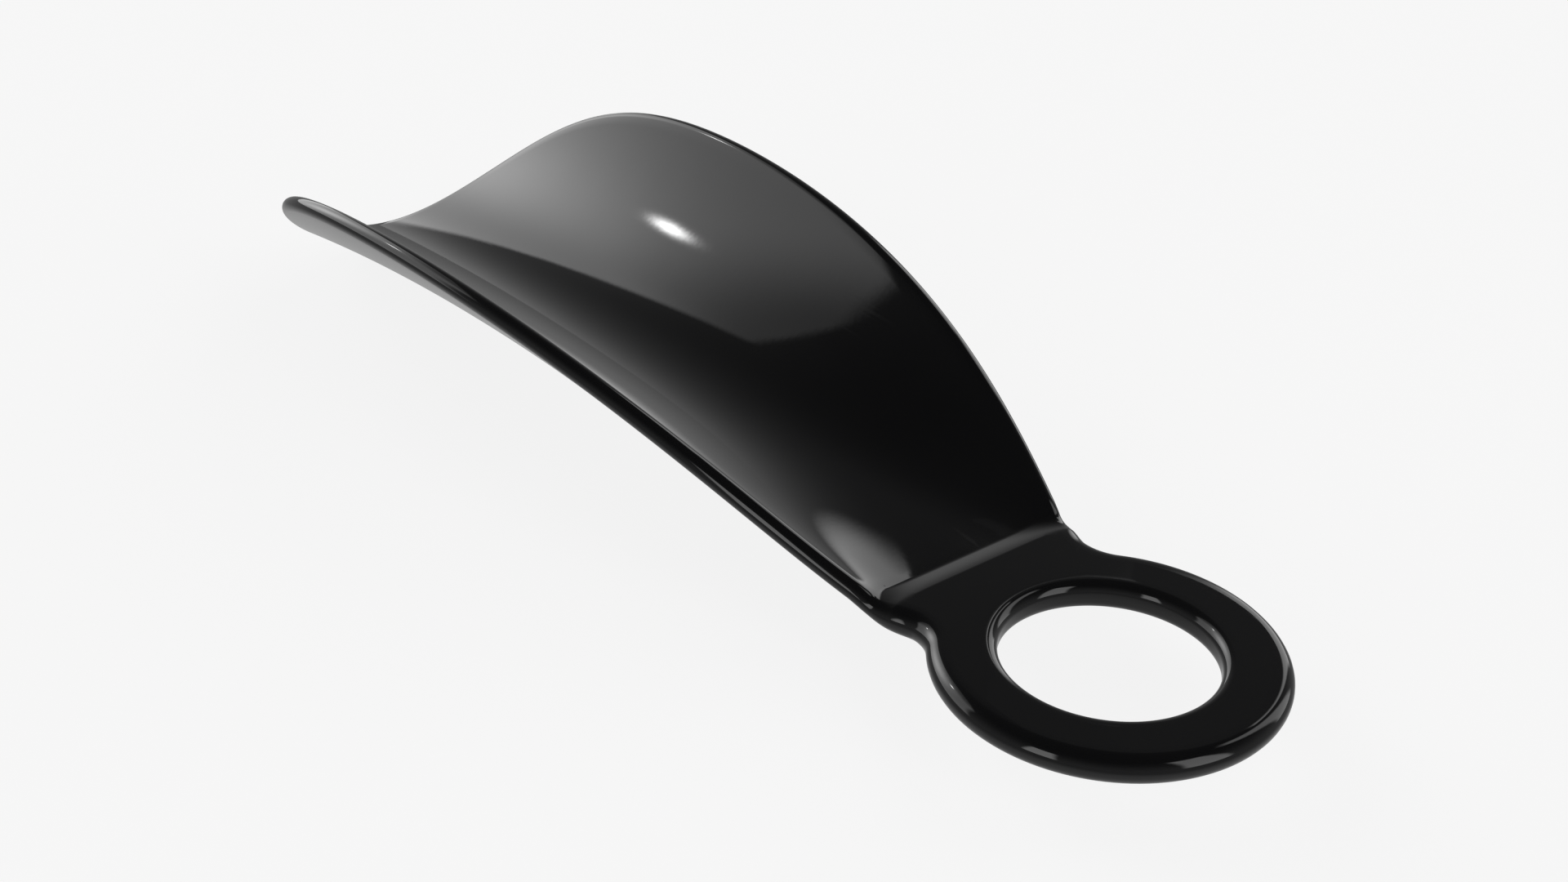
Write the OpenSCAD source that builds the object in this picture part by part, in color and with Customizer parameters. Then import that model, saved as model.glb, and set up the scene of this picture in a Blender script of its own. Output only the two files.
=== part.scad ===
// Shoehorn moulded in one piece: a flat hanging ring, a short neck and a deep concave blade.
// Millimetres. The origin is the centre of the ring's hole, halfway through its thickness.
// +X runs along the blade to its tip, +Z points up out of the trough.

/* [Overall] */
// Length over everything, from the ring's outer edge to the blade's tip
overall_length = 154.5; // [135:0.5:190]
// Widest width, over the blade's two rims
blade_width = 52.5; // [46:0.5:60]

/* [Ring] */
// Outside diameter of the hanging ring
ring_diameter = 36; // [34:0.5:42]
// Diameter of the hole at its narrowest
hole_diameter = 22; // [14:0.1:24]
// Rounding at both ends of the hole
hole_rounding = 1.2; // [0.6:0.1:1.2]
// Thickness of the flat ring and the neck
plate_thickness = 3.2; // [2.8:0.1:4]

/* [Neck] */
// Width of the neck at its narrowest
neck_width = 25; // [22:0.2:27]
// Concave radius between the ring and the neck
neck_fillet = 5; // [4:0.2:8]
// Length over which the neck widens into the blade
neck_flare = 4.6; // [2:0.1:6]

/* [Blade] */
// Wall thickness of the blade, and the diameter of its round rim
wall = 2.1; // [1.6:0.1:2.6]
// Radius of the trough's cross-section along its bottom
trough_radius = 20.7; // [19:0.1:30]
// Drop from the neck's top face to the floor of the trough
step_depth = 1.1; // [0.6:0.1:2]
// Length of the step down, along the blade
step_length = 3.4; // [2.4:0.1:5]
// How far before the blade's start the step begins
step_lead = 1.1; // [0.2:0.1:1.8]
// How far the floor climbs away from the step
spine_rise = 3.8; // [1:0.1:8]
// How far the floor comes down again at the tip
tip_dip = 8.6; // [4:0.1:12]
// Width where the blade starts, as a share of its full width
start_share = 0.486; // [0.44:0.002:0.6]
// Squareness of the tip in plan, low for a long oval and high for a blunt end
tip_squareness = 11.2; // [5:0.1:14]

/* [Hidden] */

gloss_black = [0.04, 0.04, 0.045];

// Exponents and factors of the curves along the blade
flare_ease = 3.35;     // how soon the blade reaches its full width
spine_ease = 2.44;     // how soon the floor stops climbing
dip_ease = 2.42;       // how late the floor turns down
floor_flatness = 4;    // extra flatness of the floor next to the step
throat_loss = 0.0386;  // curvature missing next to the step, per mm
crest_slope = 0.5;     // slope of the step at its crest, as a share of its average
foot_share = 0.15;     // share of the step taken by the fillet at its foot
trough_run = 8;        // length over which the flat plate turns into the trough

// Mesh fineness
ring_steps = 30;
fillet_steps = 7;
flare_steps = 5;
step_steps = 10;
blade_steps = 42;
across = 12;
round_steps = 8;

// --- small helpers ---------------------------------------------------------------------------
function mix(a, b, t) = a * (1 - t) + b * t;
function clamp01(t) = min(1, max(0, t));
function unit(v) = v / norm(v);
// Quick start and level end, from 0 to 1
function settle(s, ease) = 1 - pow(1 - s, ease);
// Level start and level end, from 0 to 1
function ease(t) = t * t * (3 - 2 * t);

// --- outline of the mid-surface, seen from above ---------------------------------------------
// The outer outline is this line moved out by half of the local thickness.
plate_half = plate_thickness / 2;
rim_radius = wall / 2;
ring_mid = ring_diameter / 2 - plate_half;
fillet_mid = neck_fillet + plate_half;
fillet_y = neck_width / 2 + neck_fillet;
fillet_x = sqrt(pow(ring_diameter / 2 + neck_fillet, 2) - fillet_y * fillet_y);
fillet_angle = atan2(fillet_y, fillet_x);
blade_start = fillet_x + neck_flare;
blade_length = overall_length - ring_diameter / 2 - rim_radius - blade_start;

// Half width of the blade at s, which is 0 at its start and 1 at its tip
function width_shape(s) =
    mix(start_share, 1, settle(s, flare_ease)) * sqrt(1 - pow(s, tip_squareness));
width_peak = max([for (i = [0:100]) width_shape(i / 100)]);
function half_width(s) = (blade_width / 2 - rim_radius) * width_shape(s) / width_peak;

// The neck widens level at first, and leaves at the blade's own slope
neck_half = neck_width / 2 - plate_half;
blade_slope = (1 - start_share) * flare_ease * (blade_width / 2 - rim_radius)
    / width_peak / blade_length;
function flare(t) = mix(neck_half, half_width(0), ease(t))
    + blade_slope * neck_flare * t * t * (t - 1);
// Share of the blade's length at x, below 0 under the neck
function along(x) = min(1, (x - blade_start) / blade_length);
function plan_half(x) = x < blade_start
    ? flare((x - fillet_x) / neck_flare)
    : half_width(along(x));

// Stations along the neck and the blade: one at the step's crest and one at its foot, evenly
// spaced up to there and crowded together at both ends of the rest
crest_x = blade_start - step_lead;
foot_x = crest_x + step_length;
stations = concat(
    [for (i = [1:flare_steps]) mix(fillet_x, crest_x, i / flare_steps)],
    [for (i = [1:step_steps]) mix(crest_x, foot_x, i / step_steps)],
    [for (i = [1:blade_steps])
        mix(foot_x, blade_start + blade_length, (1 - cos(180 * i / blade_steps)) / 2)]
);

outline = concat(
    [for (i = [0:ring_steps])
        let (a = mix(180, fillet_angle, i / ring_steps))
        ring_mid * [cos(a), sin(a)]],
    [for (i = [1:fillet_steps])
        let (a = mix(fillet_angle + 180, 270, i / fillet_steps))
        [fillet_x, fillet_y] + fillet_mid * [cos(a), sin(a)]],
    [for (x = stations) [x, plan_half(x)]]
);
last = len(outline) - 1;

// --- heights ---------------------------------------------------------------------------------
// The blade's mid-surface runs on under the plate, so that the underside has no step.
function spine(s) = plate_half - step_depth - rim_radius
    + spine_rise * settle(s, spine_ease) - tip_dip * pow(max(0, s), dip_ease);
function curvature(s) = 1 / trough_radius - throat_loss * pow(1 - s, 10);
function flatness(s) = 2 + floor_flatness * pow(1 - s, 14);
// Height at x across the trough: v is 0 on the spine, and -1 and 1 at the rims
function trough(x, v) = spine(along(x))
    + curvature(along(x)) * pow(plan_half(x), 2) / 2 * pow(abs(v), flatness(along(x)));

function level(x, v) = mix(
    rim_radius - plate_half,
    trough(x, v),
    ease(clamp01((x - fillet_x) / trough_run)));

// The step, from 0 on the plate to 1 in the trough: it steepens from its crest downwards, and ends
// in a small fillet at its foot
function face(q) = q * (crest_slope + (1 - crest_slope) * q);
function face_slope(q) = crest_slope + 2 * (1 - crest_slope) * q;
foot_q = 1 - foot_share;
face_scale = 1 / (face(foot_q) + face_slope(foot_q) * foot_share / 2);
function step_curve(q) = q < foot_q
    ? face_scale * face(q)
    : 1 - face_scale * face_slope(foot_q) * pow(1 - q, 2) / (2 * foot_share);
function stepped(x) = step_curve(clamp01((x - crest_x) / step_length));
// Extra material on top of the blade's wall, up to the plate's top face
function lift(x, v) = stepped(x) == 1 ? 0
    : (plate_half - rim_radius - level(x, v)) * (1 - stepped(x));

// --- grid of the mid-surface, its normals and its rims ---------------------------------------
function across_at(j) = 1 - 2 * j / across;
grid = [for (p = outline)
    [for (j = [0:across])
        [p.x, p.y * across_at(j), level(p.x, across_at(j))]]];

function grid_normal(i, j) = unit(cross(
    grid[i][min(j + 1, across)] - grid[i][max(j - 1, 0)],
    grid[i + 1][j] - grid[i - 1][j]));
normals = [for (i = [0:last])
    [for (j = [0:across])
        i == 0 ? [0, 0, 1]
        : i == last ? grid_normal(last - 1, across / 2)
        : grid_normal(i, j)]];
lifts = [for (i = [0:last])
    [for (j = [0:across]) lift(outline[i].x, across_at(j))]];

// Direction along a rim, halfway between the two segments that meet there
function rim_tangent(i, j) =
    unit(unit(grid[i + 1][j] - grid[i][j]) + unit(grid[i][j] - grid[i - 1][j]));
// Direction out of a rim: side is 1 at the +Y rim and -1 at the -Y rim
function rim_out(i, j, side) =
    i == 0 ? [-1, 0, 0]
    : i == last ? unit(cross([0, 1, 0], normals[i][j]))
    : side * unit(cross(normals[i][j], rim_tangent(i, j)));

// Middle and half of the local thickness
function core(i, j) = grid[i][j] + lifts[i][j] / 2 * normals[i][j];
function half_thickness(i, j) = rim_radius + lifts[i][j] / 2;
function skin(i, j, way) = core(i, j) + way * half_thickness(i, j) * normals[i][j];
function rim_point(i, j, side, turn) = core(i, j) + half_thickness(i, j)
    * (cos(turn) * normals[i][j] + sin(turn) * rim_out(i, j, side));

// --- points and faces ------------------------------------------------------------------------
// A full loop runs over the top skin, round the -Y rim, back under and round the +Y rim
rim_turns = [for (k = [1:round_steps - 1]) 180 * k / round_steps];
function loop(i) = concat(
    [for (j = [0:across]) skin(i, j, 1)],
    [for (turn = rim_turns) rim_point(i, across, -1, turn)],
    [for (j = [across:-1:0]) skin(i, j, -1)],
    [for (turn = rim_turns) rim_point(i, 0, 1, 180 - turn)]
);
// The first and last stations have no width, so their loop closes to one half-round
function half_round(i) = [for (k = [0:round_steps]) rim_point(i, 0, 1, 180 * k / round_steps)];

loop_size = 2 * (across + 1) + 2 * (round_steps - 1);
cap_size = round_steps + 1;
// Place in a half-round of the j-th point of a full loop
function cap_place(j) =
    j <= across ? 0
    : j < across + round_steps ? j - across
    : j <= 2 * across + round_steps ? round_steps
    : loop_size - j;
function vertex(i, j) =
    i == 0 ? cap_place(j)
    : i == last ? cap_size + (last - 1) * loop_size + cap_place(j)
    : cap_size + (i - 1) * loop_size + j;
function is_triangle(f) = f[0] != f[1] && f[1] != f[2] && f[2] != f[0];

module body_skin() {
    points = concat(
        half_round(0),
        [for (i = [1:last - 1]) each loop(i)],
        half_round(last));
    faces = [for (i = [0:last - 1], j = [0:loop_size - 1])
        let (
            next = (j + 1) % loop_size,
            near = vertex(i, j),
            near_next = vertex(i, next),
            far_next = vertex(i + 1, next),
            far = vertex(i + 1, j))
        each [[near, far_next, near_next], [near, far, far_next]]];
    polyhedron(points, [for (f = faces) if (is_triangle(f)) f]);
}

// Cutter for the hole: a straight bore with a rounded mouth at each end. Each mouth crosses the
// ring's face at a small angle, so that its edge is a clean circle.
module hole_cutter() {
    hole_radius = hole_diameter / 2;
    mouth_turn = 80;
    mouth_steps = 8;
    overrun = 0.3;
    function mouth(turn) = [
        hole_radius + hole_rounding * (1 - cos(turn)),
        plate_half - hole_rounding + hole_rounding * sin(turn)];
    upper = concat(
        [for (k = [0:mouth_steps]) mouth(mouth_turn * k / mouth_steps)],
        [mouth(mouth_turn) + overrun * [tan(mouth_turn), 1]]);
    lower = [for (k = [len(upper) - 1:-1:0]) [upper[k].x, -upper[k].y]];
    rotate_extrude($fn = 96)
        polygon(concat(
            [[0, lower[0].y]],
            lower,
            upper,
            [[0, -lower[0].y]]));
}

module shoehorn() {
    color(gloss_black)
    difference() {
        body_skin();
        hole_cutter();
    }
}

shoehorn();
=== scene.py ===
import math

import bpy
import numpy as np
from mathutils import Matrix, Vector


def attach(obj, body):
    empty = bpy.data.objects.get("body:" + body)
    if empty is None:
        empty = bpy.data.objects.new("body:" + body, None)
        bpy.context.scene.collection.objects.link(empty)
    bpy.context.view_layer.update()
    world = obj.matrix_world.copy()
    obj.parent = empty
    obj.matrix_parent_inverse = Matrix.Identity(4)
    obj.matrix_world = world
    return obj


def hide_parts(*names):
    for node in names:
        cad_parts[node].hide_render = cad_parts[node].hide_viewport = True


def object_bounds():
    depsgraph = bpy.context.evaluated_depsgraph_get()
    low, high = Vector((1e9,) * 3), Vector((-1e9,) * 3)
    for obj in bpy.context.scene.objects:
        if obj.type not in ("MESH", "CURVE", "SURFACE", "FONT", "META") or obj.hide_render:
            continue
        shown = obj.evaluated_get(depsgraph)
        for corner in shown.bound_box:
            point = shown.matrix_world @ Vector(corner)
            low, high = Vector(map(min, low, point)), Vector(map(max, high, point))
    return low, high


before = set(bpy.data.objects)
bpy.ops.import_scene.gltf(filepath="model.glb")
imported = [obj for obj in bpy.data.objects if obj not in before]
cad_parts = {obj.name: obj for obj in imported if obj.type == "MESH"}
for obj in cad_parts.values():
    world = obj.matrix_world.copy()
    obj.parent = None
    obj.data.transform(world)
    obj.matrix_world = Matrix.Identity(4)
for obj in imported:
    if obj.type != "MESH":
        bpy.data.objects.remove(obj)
cad_box = [list(corner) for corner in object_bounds()]

# The mesh is worked out in millimetres, in the CAD frame: origin at the centre of the ring's hole,
# halfway through the plate, +X to the blade's tip and +Z out of the trough.
MM = 0.001

# --- shape -----------------------------------------------------------------------------------
OVERALL_LENGTH = 154.5
BLADE_WIDTH = 52.5
RING_RADIUS = 18.0
HOLE_RADIUS = 11.0
HOLE_ROUNDING = 1.2
PLATE_HALF = 1.6
NECK_HALF_WIDTH = 12.5
NECK_FILLET = 5.0
NECK_FLARE = 4.6
RIM_RADIUS = 1.05
TROUGH_RADIUS = 20.7
STEP_DEPTH = 1.1
STEP_LENGTH = 3.4
STEP_LEAD = 1.1
SPINE_RISE = 3.8
TIP_DIP = 8.6
START_SHARE = 0.486
TIP_SQUARENESS = 11.2
FLARE_EASE = 3.35
SPINE_EASE = 2.44
DIP_EASE = 2.42
FLOOR_FLATNESS = 4.0
FLATNESS_EASE = 14
THROAT_LOSS = 0.0386
THROAT_EASE = 10
CREST_SLOPE = 0.5
FOOT_SHARE = 0.15
TROUGH_RUN = 8.0
# Share of the blade's length after which the width closes in, and the trough no longer follows it
CLOSING_IN = 0.93

RING_MID = RING_RADIUS - PLATE_HALF
FILLET_MID = NECK_FILLET + PLATE_HALF
FILLET_Y = NECK_HALF_WIDTH + NECK_FILLET
FILLET_X = math.sqrt((RING_RADIUS + NECK_FILLET) ** 2 - FILLET_Y**2)
FILLET_ANGLE = math.atan2(FILLET_Y, FILLET_X)
BLADE_X = FILLET_X + NECK_FLARE
TIP_X = OVERALL_LENGTH - RING_RADIUS - RIM_RADIUS
BLADE_LENGTH = TIP_X - BLADE_X
NECK_MID = NECK_HALF_WIDTH - PLATE_HALF

# --- mesh fineness ---------------------------------------------------------------------------
ACROSS = 44
BANDS = 3
BAND_WIDTH = 2.4
RING_COLUMNS = 100
FILLET_COLUMNS = 9
PLATE_RINGS = 6
RIM_SEGMENTS = 14
MOUTH_SEGMENTS = 8
# Columns along the blade: narrow over the step, and wider and wider after it
COLUMN_MIN = 0.14
COLUMN_MAX = 1.2
COLUMN_GROWTH = 0.05
# The sides of the blade's grid end where the border has turned this far, in degrees
CORNER_TURN = 47
# Points along the flare and the blade from which the border is measured out
FLARE_SAMPLES = 400
BLADE_SAMPLES = 6001
# Distance over which slopes are measured, and points to the millimetre when joining them
SLOPE_REACH = 0.01
JOINING = 20000


# --- mid-surface -----------------------------------------------------------------------------
def settle(s, power):
    return 1 - (1 - s) ** power


def ease(t):
    t = np.clip(t, 0, 1)
    return t * t * (3 - 2 * t)


def width_shape(s):
    s = np.clip(s, 0, 1)
    widening = START_SHARE + (1 - START_SHARE) * settle(s, FLARE_EASE)
    return widening * np.sqrt(1 - s**TIP_SQUARENESS)


WIDTH_PEAK = width_shape(np.linspace(0, 1, 101)).max()


def half_width(s):
    """Half width of the blade's mid-surface: s is 0 at the blade's start and 1 at its tip."""
    return (BLADE_WIDTH / 2 - RIM_RADIUS) * width_shape(s) / WIDTH_PEAK


START_REACH = 1e-4
START_HALF = float(half_width(0.0))
START_SLOPE = float(half_width(START_REACH) - START_HALF) / (START_REACH * BLADE_LENGTH)


def flare(t):
    """Half width over the flare: t is 0 at the neck and 1 at the blade's start."""
    gain = START_HALF - NECK_MID
    return NECK_MID + gain * (3 * t**2 - 2 * t**3) + START_SLOPE * NECK_FLARE * (t**3 - t**2)


def plan_half(x):
    t = np.clip((x - FILLET_X) / NECK_FLARE, 0, 1)
    return np.where(x < BLADE_X, flare(t), half_width((x - BLADE_X) / BLADE_LENGTH))


def level(x, y):
    """Height of the blade's mid-surface over a point in plan. It runs on under the plate."""
    s = np.minimum((x - BLADE_X) / BLADE_LENGTH, 1)
    spine = PLATE_HALF - STEP_DEPTH - RIM_RADIUS + SPINE_RISE * settle(s, SPINE_EASE)
    spine = spine - TIP_DIP * np.maximum(s, 0) ** DIP_EASE
    curve = 1 / TROUGH_RADIUS - THROAT_LOSS * (1 - s) ** THROAT_EASE
    flatness = 2 + FLOOR_FLATNESS * (1 - s) ** FLATNESS_EASE
    share = np.abs(y) / np.maximum(plan_half(x), 1e-3)
    side = np.where(s > CLOSING_IN, y**2, plan_half(x) ** 2 * share**flatness)
    into_trough = ease((x - FILLET_X) / TROUGH_RUN)
    return (1 - into_trough) * (RIM_RADIUS - PLATE_HALF) + into_trough * (spine + curve / 2 * side)


def surface(xy):
    """Point on the mid-surface and its upward normal, which is straight up on the flat plate."""
    x, y = xy[..., 0], xy[..., 1]
    x_next = np.minimum(x + SLOPE_REACH, TIP_X)
    slope_x = (level(x_next, y) - level(x - SLOPE_REACH, y)) / (x_next - x + SLOPE_REACH)
    slope_y = (level(x, y + SLOPE_REACH) - level(x, y - SLOPE_REACH)) / (2 * SLOPE_REACH)
    normal = np.stack([-slope_x, -slope_y, np.ones_like(slope_x)], -1)
    normal /= np.linalg.norm(normal, axis=-1, keepdims=True)
    normal[x < FILLET_X + 1e-6] = (0, 0, 1)
    return np.stack([x, y, level(x, y)], -1), normal


# --- thickness -------------------------------------------------------------------------------
def face(q):
    return q * (CREST_SLOPE + (1 - CREST_SLOPE) * q)


def face_slope(q):
    return CREST_SLOPE + 2 * (1 - CREST_SLOPE) * q


def lift(point):
    """Extra thickness on top, which ends at the step.

    The step has an edge at its crest, a face that steepens, and a small fillet at its foot.
    """
    x, z = point[..., 0], point[..., 2]
    q = np.clip((x - BLADE_X + STEP_LEAD) / STEP_LENGTH, 0, 1)
    foot = 1 - FOOT_SHARE
    scale = 1 / (face(foot) + face_slope(foot) * FOOT_SHARE / 2)
    fillet = 1 - scale * face_slope(foot) * (1 - q) ** 2 / (2 * FOOT_SHARE)
    stepped = np.where(q < foot, scale * face(q), fillet)
    return ((PLATE_HALF - RIM_RADIUS - z) * (1 - stepped))[..., None]


def skin(xy, way):
    """Top face where way is 1, underside where it is -1."""
    point, normal = surface(xy)
    return point + (RIM_RADIUS + lift(point) if way > 0 else -RIM_RADIUS) * normal


# --- mesh ------------------------------------------------------------------------------------
def blade_border():
    """The blade's border in plan and its direction of travel.

    It runs from the neck's -Y side round the tip to its +Y side.
    """
    t = np.linspace(0, 1, FLARE_SAMPLES)[:-1]
    neck = np.stack([FILLET_X + NECK_FLARE * t, flare(t)], -1)
    to_tip = np.linspace(1, 0, BLADE_SAMPLES)
    blade = np.stack([BLADE_X + BLADE_LENGTH * (1 - to_tip**2), half_width(1 - to_tip**2)], -1)
    dense = np.concatenate([neck, blade])
    travel = np.gradient(dense, axis=0)
    travel /= np.linalg.norm(travel, axis=1, keepdims=True)
    run = np.r_[0, np.cumsum(np.linalg.norm(np.diff(dense, axis=0), axis=1))]

    near_tip = dense[:, 0] > 0.8 * TIP_X
    turned = -travel[:, 1] > math.sin(math.radians(CORNER_TURN))
    corner = run[np.argmax(near_tip & turned)]
    foot = BLADE_X + STEP_LENGTH - STEP_LEAD - FILLET_X
    stops = [0.0]
    while stops[-1] < corner:
        width = COLUMN_MIN + COLUMN_GROWTH * max(0, stops[-1] - foot)
        stops.append(stops[-1] + min(COLUMN_MAX, width))
    stops = np.array(stops) * corner / stops[-1]
    stops = np.r_[stops, np.linspace(corner, run[-1], ACROSS // 2 + 1)[1:]]

    side = np.stack([np.interp(stops, run, dense[:, k]) for k in (0, 1)], -1)
    way = np.stack([np.interp(stops, run, travel[:, k]) for k in (0, 1)], -1)
    side[-1], way[0], way[-1] = (TIP_X, 0), (1, 0), (0, -1)
    way /= np.linalg.norm(way, axis=1, keepdims=True)
    border = np.concatenate([side[:-1] * [1, -1], side[::-1]])
    heading = np.concatenate([way[:-1] * [1, -1], -way[::-1]])
    return border, heading


def fill(side_a, side_b, start, end):
    """Grid in plan between two sides, a straight start and a curved end."""
    along = (side_a[:, 0] - side_a[0, 0]) / (side_a[-1, 0] - side_a[0, 0])
    along = (along**2)[:, None, None]
    across = np.linspace(0, 1, len(start))[None, :, None]
    straight_start = (1 - across) * start[0] + across * start[-1]
    straight_end = (1 - across) * end[0] + across * end[-1]
    sides = (1 - across) * side_a[:, None] + across * side_b[:, None]
    return sides + (1 - along) * (start - straight_start) + along * (end - straight_end)


class Builder:
    """Collects grids of points into one mesh, joining the points they share."""

    def __init__(self):
        self.points = []
        self.faces = []
        self.places = {}

    def place(self, point):
        key = tuple(int(round(c * JOINING)) for c in point)
        if key not in self.places:
            self.places[key] = len(self.points)
            self.points.append(point)
        return self.places[key]

    def add(self, grid, closed=False, flip=False):
        rows, columns = grid.shape[:2]
        ids = [[self.place(point) for point in row] for row in grid]
        for i in range(rows - 1):
            for j in range(columns if closed else columns - 1):
                k = (j + 1) % columns
                corners = [ids[i][j], ids[i][k], ids[i + 1][k], ids[i + 1][j]]
                self.faces.append(corners[::-1] if flip else corners)


def circle(radius, angles):
    return radius * np.stack([np.cos(angles), np.sin(angles)], -1)


def at_height(xy, height):
    return np.concatenate([xy, np.full(xy.shape[:-1] + (1,), height)], -1)


def shoehorn_mesh():
    build = Builder()
    border, heading = blade_border()
    along = (len(border) - 1 - ACROSS) // 2
    inward = np.stack([-heading[:, 1], heading[:, 0]], -1)

    # Blade: bands that follow the border, and a grid inside them, on both faces
    bands = np.stack([border + inward * BAND_WIDTH * k / BANDS for k in range(BANDS + 1)])
    inner = bands[-1]
    side_a, side_b = inner[: along + 1], inner[::-1][: along + 1]
    cut_y = np.linspace(side_a[0, 1], side_b[0, 1], ACROSS + 1)
    start = np.stack([np.full(ACROSS + 1, FILLET_X), cut_y], -1)
    core = fill(side_a, side_b, start, inner[along : along + ACROSS + 1])
    for way in (1, -1):
        build.add(skin(bands, way), flip=way < 0)
        build.add(skin(core, way), flip=way > 0)

    # Ring and neck: a flat plate between the outline and the hole's mouth
    ring_turn = np.linspace(FILLET_ANGLE, 2 * math.pi - FILLET_ANGLE, RING_COLUMNS + 1)
    fillet_turn = np.linspace(1.5 * math.pi, math.pi + FILLET_ANGLE, FILLET_COLUMNS + 1)
    ring = circle(RING_MID, ring_turn)
    fillet = circle(FILLET_MID, fillet_turn) + [FILLET_X, FILLET_Y]
    outline = np.concatenate([fillet[:-1], ring, (fillet[::-1] * [1, -1])[1:]])
    cut = np.concatenate([bands[:, 0], start[1:-1], bands[::-1, -1]])
    loop = np.concatenate([outline, cut[1:-1]])
    bearing = np.arctan2(loop[:, 1], loop[:, 0])
    mouth = circle(HOLE_RADIUS + HOLE_ROUNDING, bearing)
    share = np.linspace(0, 1, PLATE_RINGS + 1)[:, None, None]
    plate = (1 - share) * loop + share * mouth
    for way in (1, -1):
        build.add(at_height(plate, way * PLATE_HALF), closed=True, flip=way < 0)

    # Hole: a rounded mouth at each end of a straight wall
    rise = np.linspace(math.pi / 2, 0, MOUTH_SEGMENTS + 1)
    radii = HOLE_RADIUS + HOLE_ROUNDING * (1 - np.cos(rise))
    heights = PLATE_HALF - HOLE_ROUNDING + HOLE_ROUNDING * np.sin(rise)
    levels = [*zip(radii, heights), *zip(radii[::-1], -heights[::-1])]
    wall = [at_height(circle(radius, bearing), height) for radius, height in levels]
    build.add(np.stack(wall), closed=True)

    # Rim: a half-round all the way round the ring, the neck and the blade
    middle, normal = surface(np.concatenate([outline, border[1:-1]]))
    travel = np.roll(middle, -1, 0) - middle
    travel /= np.linalg.norm(travel, axis=1, keepdims=True)
    travel = travel + np.roll(travel, 1, 0)
    outward = np.cross(travel, normal)
    outward /= np.linalg.norm(outward, axis=1, keepdims=True)
    centre = middle + lift(middle) / 2 * normal
    radius = RIM_RADIUS + lift(middle) / 2
    turns = np.linspace(0, math.pi, RIM_SEGMENTS + 1)
    rim = [centre + radius * (math.cos(a) * normal + math.sin(a) * outward) for a in turns]
    build.add(np.stack(rim), closed=True, flip=True)

    mesh = bpy.data.meshes.new("shoehorn_moulding")
    mesh.from_pydata([tuple(MM * p) for p in build.points], [], build.faces)
    mesh.validate()
    mesh.shade_smooth()
    return mesh


# --- shader helpers --------------------------------------------------------------------------
def map_range(tree, value, from_min, from_max, to_min=0, to_max=1, kind="SMOOTHSTEP"):
    node = tree.nodes.new("ShaderNodeMapRange")
    node.interpolation_type = kind
    node.inputs["From Min"].default_value = from_min
    node.inputs["From Max"].default_value = from_max
    node.inputs["To Min"].default_value = to_min
    node.inputs["To Max"].default_value = to_max
    tree.links.new(value, node.inputs["Value"])
    return node.outputs["Result"]


def maths(tree, operation, a, b):
    node = tree.nodes.new("ShaderNodeMath")
    node.operation = operation
    for socket, value in zip(node.inputs, (a, b)):
        if isinstance(value, (int, float)):
            socket.default_value = value
        else:
            tree.links.new(value, socket)
    return node.outputs[0]


def along_axis(tree, vector, axis):
    node = tree.nodes.new("ShaderNodeVectorMath")
    node.operation = "DOT_PRODUCT"
    node.inputs[1].default_value = axis
    tree.links.new(vector, node.inputs[0])
    return node.outputs["Value"]


def for_camera(tree, shown, reflected):
    """One strength for what the camera sees straight on, and another one for reflections."""
    node = tree.nodes.new("ShaderNodeMix")
    node.data_type = "FLOAT"
    seen = tree.nodes.new("ShaderNodeLightPath").outputs["Is Camera Ray"]
    tree.links.new(seen, node.inputs["Factor"])
    tree.links.new(reflected, node.inputs["A"])
    node.inputs["B"].default_value = shown
    return node.outputs["Result"]


def mix_shaders(tree, factor, first, second):
    node = tree.nodes.new("ShaderNodeMixShader")
    tree.links.new(factor, node.inputs["Fac"])
    tree.links.new(first, node.inputs[1])
    tree.links.new(second, node.inputs[2])
    tree.links.new(node.outputs["Shader"], tree.nodes["Material Output"].inputs["Surface"])


def clear(tree):
    return tree.nodes.new("ShaderNodeBsdfTransparent").outputs["BSDF"]


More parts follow.
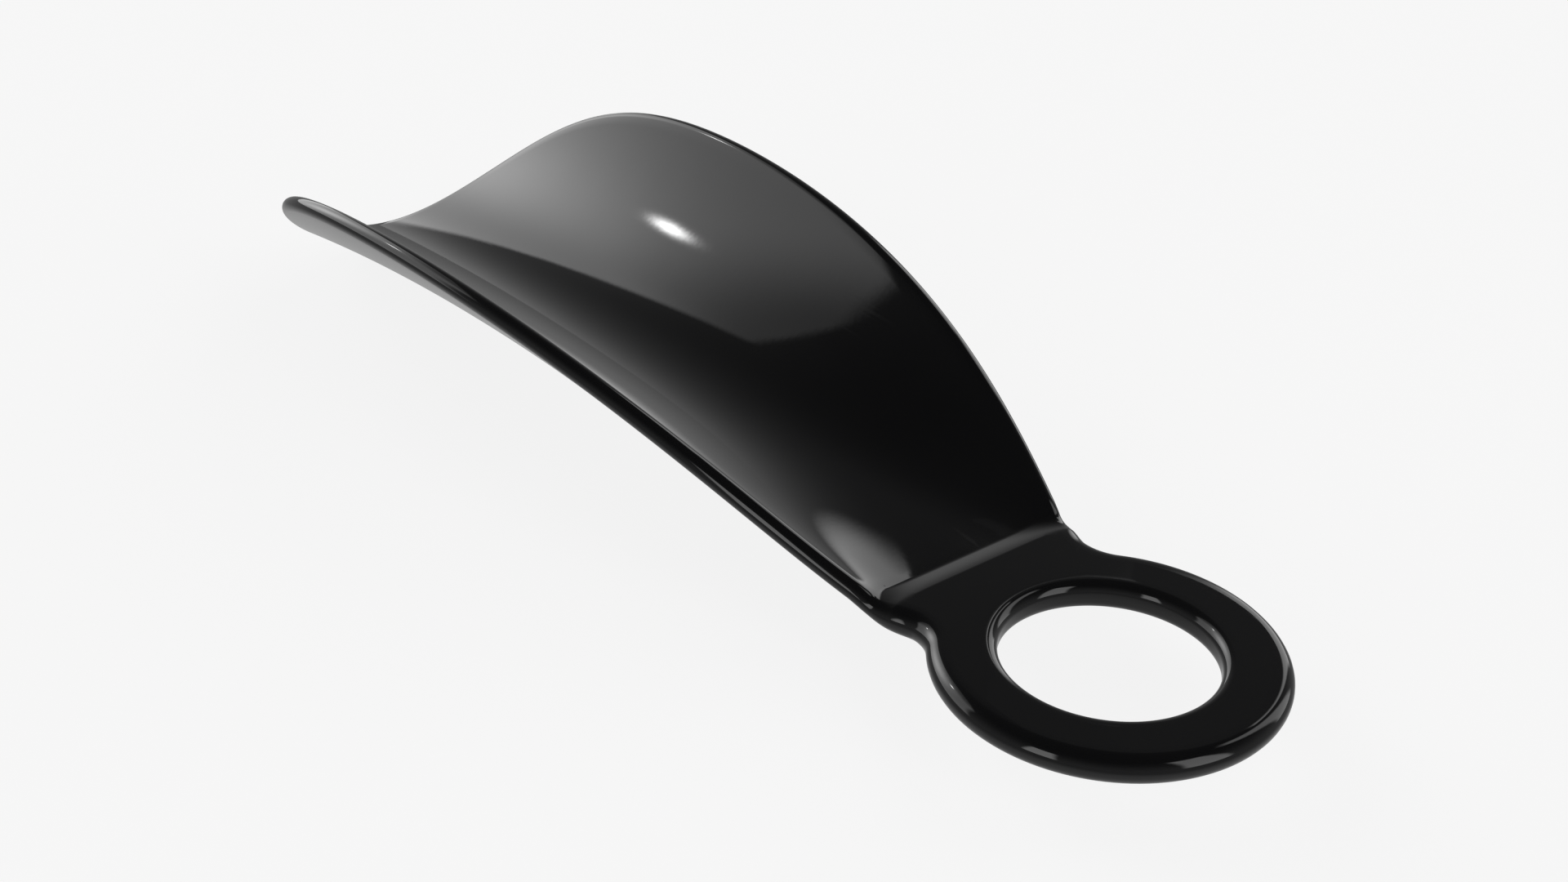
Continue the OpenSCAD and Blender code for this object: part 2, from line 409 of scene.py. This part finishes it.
# --- material --------------------------------------------------------------------------------
def gloss_black_plastic():
    material = bpy.data.materials.new("gloss_black_plastic")
    material.use_nodes = True
    tree = material.node_tree
    nodes, links = tree.nodes, tree.links
    shader = nodes["Principled BSDF"]
    coords = nodes.new("ShaderNodeTexCoord").outputs["Object"]

    def noise(scale, detail, stretch=(1, 1, 1)):
        mapping = nodes.new("ShaderNodeMapping")
        mapping.inputs["Scale"].default_value = stretch
        links.new(coords, mapping.inputs["Vector"])
        texture = nodes.new("ShaderNodeTexNoise")
        texture.inputs["Scale"].default_value = scale
        texture.inputs["Detail"].default_value = detail
        links.new(mapping.outputs["Vector"], texture.inputs["Vector"])
        return texture.outputs["Fac"]

    def bump(height, strength, distance):
        node = nodes.new("ShaderNodeBump")
        node.inputs["Strength"].default_value = strength
        node.inputs["Distance"].default_value = distance
        links.new(height, node.inputs["Height"])
        return node

    # Colour: black pigment with a faint, slow variation in density
    tone = nodes.new("ShaderNodeMix")
    tone.data_type = "RGBA"
    tone.inputs["A"].default_value = (0.0035, 0.0035, 0.004, 1)
    tone.inputs["B"].default_value = (0.0065, 0.0065, 0.007, 1)
    links.new(noise(45, 3), tone.inputs["Factor"])
    links.new(tone.outputs["Result"], shader.inputs["Base Color"])

    # Finish: mirror-like polish, a little uneven, with hairlines along the blade from use
    polish = map_range(tree, noise(60, 4), 0.35, 0.7, 0.03, 0.055)
    hairlines = map_range(tree, noise(900, 2, (0.03, 1, 1)), 0.66, 0.74, 0, 0.04)
    links.new(maths(tree, "ADD", polish, hairlines), shader.inputs["Roughness"])
    shader.inputs["IOR"].default_value = 1.49
    shader.inputs["Coat Weight"].default_value = 0

    # Relief: the slow ripple of a moulded face and a fine orange peel
    ripple = bump(noise(70, 1), 0.25, 0.00008)
    peel = bump(noise(1400, 1), 0.15, 0.000006)
    links.new(ripple.outputs["Normal"], peel.inputs["Normal"])
    links.new(peel.outputs["Normal"], shader.inputs["Normal"])
    return material


piece = bpy.data.objects.new("shoehorn_moulding", shoehorn_mesh())
bpy.context.scene.collection.objects.link(piece)
piece.data.materials.append(gloss_black_plastic())
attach(piece, "root")
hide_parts("shoehorn")
# The trough shows only the studio in its polish, not its own far wall
piece.visible_glossy = False

# --- camera ----------------------------------------------------------------------------------
# It looks at the top of the ring from the handle end, over one rim. Angles are in radians and
# distances in metres: how far off the ring is, and how far right of the middle and below it.
VIEW_AZIMUTH = 4.00766
VIEW_ELEVATION = 0.52997
VIEW_ROLL = 0.04106
VIEW_DISTANCE = 0.22249
RING_RIGHT = 0.03193
RING_DOWN = 0.02019
LENS = 52.29

sin_a, cos_a = math.sin(VIEW_AZIMUTH), math.cos(VIEW_AZIMUTH)
sin_e, cos_e = math.sin(VIEW_ELEVATION), math.cos(VIEW_ELEVATION)
back = Vector((sin_a * cos_e, -cos_a * cos_e, sin_e))
level_right = Vector((cos_a, sin_a, 0))
level_up = back.cross(level_right)
right = math.cos(VIEW_ROLL) * level_right + math.sin(VIEW_ROLL) * level_up
up = math.cos(VIEW_ROLL) * level_up - math.sin(VIEW_ROLL) * level_right

camera = bpy.data.objects.new("camera", bpy.data.cameras.new("camera"))
bpy.context.scene.collection.objects.link(camera)
camera.data.lens = LENS
camera.data.sensor_width = 36
camera.data.clip_start = 0.01
ring_top = Vector((0, 0, PLATE_HALF * MM))
camera.location = ring_top + VIEW_DISTANCE * back - RING_RIGHT * right + RING_DOWN * up
camera.rotation_mode = "QUATERNION"
camera.rotation_quaternion = Matrix((right, up, back)).transposed().to_quaternion()
bpy.context.scene.camera = camera

# --- studio ----------------------------------------------------------------------------------
# Azimuth of bearing 0, which is close to straight ahead of the camera
AHEAD = -53.4
# What the camera sees behind the object, and what it sees of the floor
BACKDROP = 0.93
FLOOR_GLOW = 0.86
# Radiance of the bare studio: from and to sin(elevation), and the radiance at each
SKY = (-0.1, 0.88, 0.27, 0.045)
# Bearing, elevation, angle to half brightness, radiance
GLOWS = (
    (-29, -6, 13, 0.4),
    (-60, 20, 11, 2.8),
    (-68.4, 34.6, 0.95, 26),
)
# Corners, softness of the edge after each corner, radiance, and its fade: from and to
# sin(elevation), and the radiance at the end
SOFTBOXES = (
    # Large box on the left
    (
        (
            (-22, -14),
            (-28, 16),
            (-36, 31),
            (-44.5, 45),
            (-60, 47.5),
            (-78, 46),
            (-93, 38),
            (-106, -14),
        ),
        (0.05, 0.035, 0.025, 0.02, 0.02, 0.04, 0.1, 0.2),
        1.2,
        (0.55, 0.72, 0.33),
    ),
    # Tall box ahead, right of the middle
    (
        ((11, -12), (-2.0, 37.8), (6, 42), (24, 44.5), (28, -12)),
        (0.075, 0.02, 0.03, 0.06, 0.06),
        1.5,
        (0.9, 1, 1.5),
    ),
    # Strip on the right
    (
        ((40, -12), (40, 55), (60, 55), (60, -12)),
        (0.1, 0.1, 0.1, 0.1),
        1.3,
        (0.9, 1, 1.3),
    ),
    # Box behind the camera on the right
    (
        ((98, 0), (101, 48), (127, 48), (127, 0)),
        (0.1, 0.1, 0.1, 0.1),
        1.9,
        (0.9, 1, 1.9),
    ),
    # Strip behind the camera on the left
    (
        ((-161, -5), (-158, 34), (-143, 34), (-141, -5)),
        (0.08, 0.08, 0.06, 0.08),
        2.3,
        (0.9, 1, 2.3),
    ),
)
# A dim card: where it is seen from, its bearing and distance from there, its outline to the right
# and up, and the rays it is solid to, with the angles within and beyond which it is and isn't
FLAG_FOOT = Vector((0.028, -0.005, 0))
FLAG_BEARING = 8
FLAG_DISTANCE = 0.1
FLAG_OUTLINE = (
    (0.0012, 0.062),
    (0.075, 0.062),
    (0.075, 0.14),
    (-0.02, 0.14),
    (-0.02, 0.097),
    (0.002, 0.092),
)
FLAG_RADIANCE = 0.1
FLAG_RAYS = (3.5, 37.5)
FLAG_WITHIN = 8
FLAG_BEYOND = 14


def bearing_to(bearing, elevation):
    """Direction given in degrees to the right of straight ahead, and up."""
    angle, rise = math.radians(AHEAD - bearing), math.radians(elevation)
    flat = math.cos(rise)
    return Vector((math.cos(angle) * flat, math.sin(angle) * flat, math.sin(rise)))


def studio():
    """A dim studio with softboxes and soft glows, which only the reflections see."""
    world = bpy.data.worlds.new("studio")
    world.use_nodes = True
    bpy.context.scene.world = world
    tree = world.node_tree
    direction = tree.nodes.new("ShaderNodeTexCoord").outputs["Generated"]
    height = along_axis(tree, direction, (0, 0, 1))

    def glow(bearing, elevation, half_angle, strength):
        power = math.log(0.5) / math.log(math.cos(math.radians(half_angle)))
        facing = along_axis(tree, direction, bearing_to(bearing, elevation))
        falloff = maths(tree, "POWER", maths(tree, "MAXIMUM", facing, 0.0), power)
        return maths(tree, "MULTIPLY", falloff, strength)

    def softbox(corners, softness, strength, fade):
        corners = [bearing_to(*corner) for corner in corners]
        middle = sum(corners, Vector())
        fade_start, fade_end, faded = fade
        light = map_range(tree, height, fade_start, fade_end, strength, faded)
        for corner, following, soft in zip(corners, corners[1:] + corners[:1], softness):
            inward = corner.cross(following).normalized()
            if inward.dot(middle) < 0:
                inward = -inward
            inside = map_range(tree, along_axis(tree, direction, inward), -soft / 2, soft / 2)
            light = maths(tree, "MULTIPLY", light, inside)
        return light

    light = map_range(tree, height, *SKY)
    for values in GLOWS:
        light = maths(tree, "ADD", light, glow(*values))
    for values in SOFTBOXES:
        light = maths(tree, "ADD", light, softbox(*values))
    background = tree.nodes["Background"]
    background.inputs["Color"].default_value = (1, 1, 1, 1)
    tree.links.new(for_camera(tree, BACKDROP, light), background.inputs["Strength"])


def sheet(name, corners):
    """A flat part of the set, and the node tree of its material."""
    mesh = bpy.data.meshes.new(name)
    mesh.from_pydata([tuple(corner) for corner in corners], [], [tuple(range(len(corners)))])
    made = bpy.data.objects.new(name, mesh)
    bpy.context.scene.collection.objects.link(made)
    material = bpy.data.materials.new(name)
    material.use_nodes = True
    mesh.materials.append(material)
    return made, material.node_tree


def flag():
    """A dim card close to the object, for reflections only.

    It hides the tall box from the ring but not from the trough.
    """
    middle = FLAG_FOOT + bearing_to(FLAG_BEARING, 0) * FLAG_DISTANCE
    to_right = bearing_to(FLAG_BEARING + 90, 0)
    corners = [middle + to_right * side + Vector((0, 0, rise)) for side, rise in FLAG_OUTLINE]
    made, tree = sheet("flag", corners)
    for rays in ("camera", "diffuse", "transmission", "volume_scatter", "shadow"):
        setattr(made, "visible_" + rays, False)
    emission = tree.nodes.new("ShaderNodeEmission")
    emission.inputs["Strength"].default_value = FLAG_RADIANCE
    # Solid to rays going the one way, and clear to the others
    incoming = tree.nodes.new("ShaderNodeNewGeometry").outputs["Incoming"]
    facing = along_axis(tree, incoming, -bearing_to(*FLAG_RAYS))
    beyond = math.cos(math.radians(FLAG_BEYOND))
    within = math.cos(math.radians(FLAG_WITHIN))
    solid = map_range(tree, facing, beyond, within)
    mix_shaders(tree, solid, clear(tree), emission.outputs["Emission"])


def floor():
    half = 3.0
    corners = [(-half, -half, 0), (half, -half, 0), (half, half, 0), (-half, half, 0)]
    made, tree = sheet("floor", corners)
    made.location.z = cad_box[0][2] - 0.0002
    shader = tree.nodes["Principled BSDF"]
    shader.inputs["Base Color"].default_value = (0.15, 0.15, 0.15, 1)
    shader.inputs["Roughness"].default_value = 1
    shader.inputs["Specular IOR Level"].default_value = 0
    shader.inputs["Emission Color"].default_value = (1, 1, 1, 1)
    # Evenly lit for the camera; in reflections it darkens towards the horizon
    geometry = tree.nodes.new("ShaderNodeNewGeometry")
    steepness = along_axis(tree, geometry.outputs["Incoming"], (0, 0, 1))
    reflected = map_range(tree, steepness, 0.3, 0.6, 0.2, 0.5, kind="LINEAR")
    glow = for_camera(tree, FLOOR_GLOW, reflected)
    tree.links.new(glow, shader.inputs["Emission Strength"])
    # Clear from below, so that the underside can be looked at
    mix_shaders(tree, geometry.outputs["Backfacing"], shader.outputs["BSDF"], clear(tree))


studio()
flag()
floor()
bpy.context.scene.view_settings.view_transform = "Standard"
